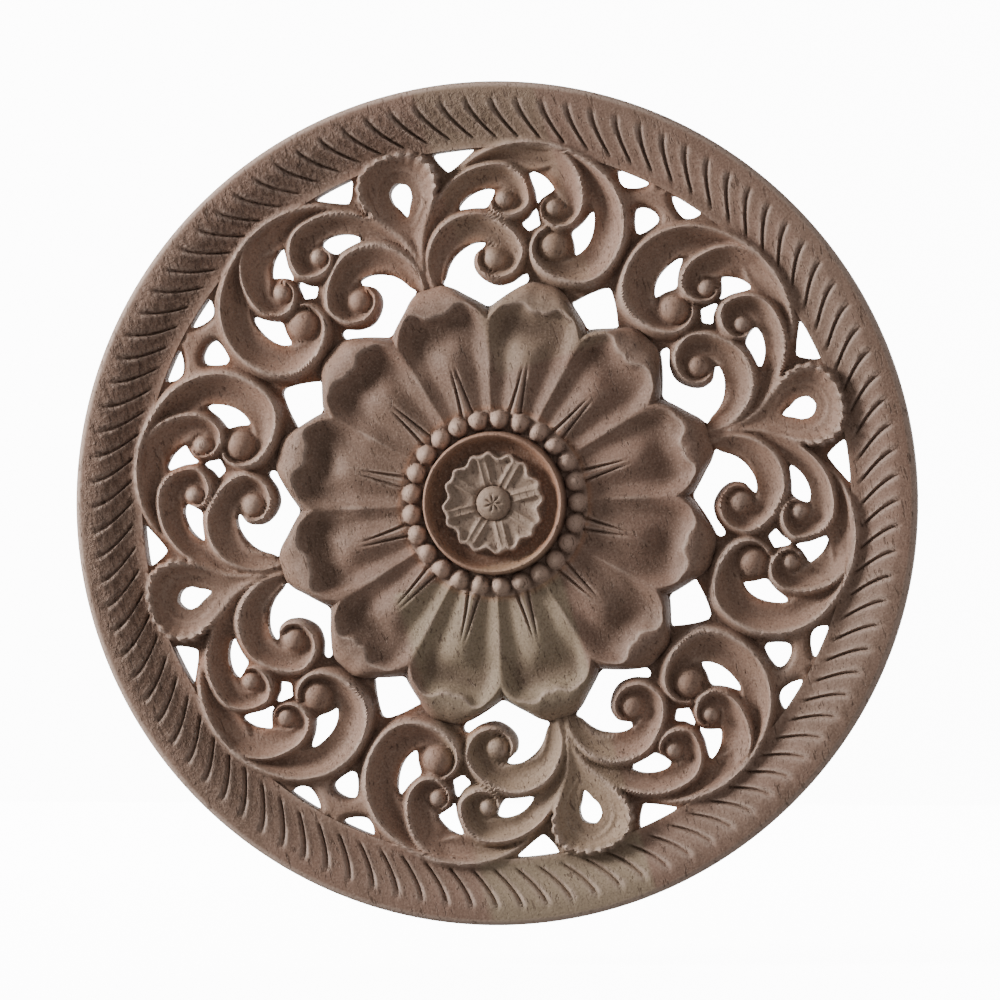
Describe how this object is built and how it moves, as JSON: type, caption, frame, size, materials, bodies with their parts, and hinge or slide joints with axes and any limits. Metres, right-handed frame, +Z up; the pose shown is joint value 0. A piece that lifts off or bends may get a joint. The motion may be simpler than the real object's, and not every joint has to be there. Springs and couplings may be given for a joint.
{
  "type": "carved wood applique",
  "caption": "Round pierced wood applique with a rope-grooved rim, mirrored scrolls and palmettes around a petalled flower with a beaded centre, flat at the back.",
  "frame": {"origin": "middle of the flat back, where the disc meets the surface it is fixed to", "axes": "+Z up with the disc standing upright, -Y out of the carved front, +Y into the surface behind it, +X to the right seen from the front"},
  "size_m": [0.25, 0.017, 0.25],
  "materials": {
    "wood": "bare fine-grained hardwood, taupe brown, fine sanded with tool marks left"
  },
  "bodies": {
    "root": {"carved_applique": "wood"}
  },
  "joints": []
}
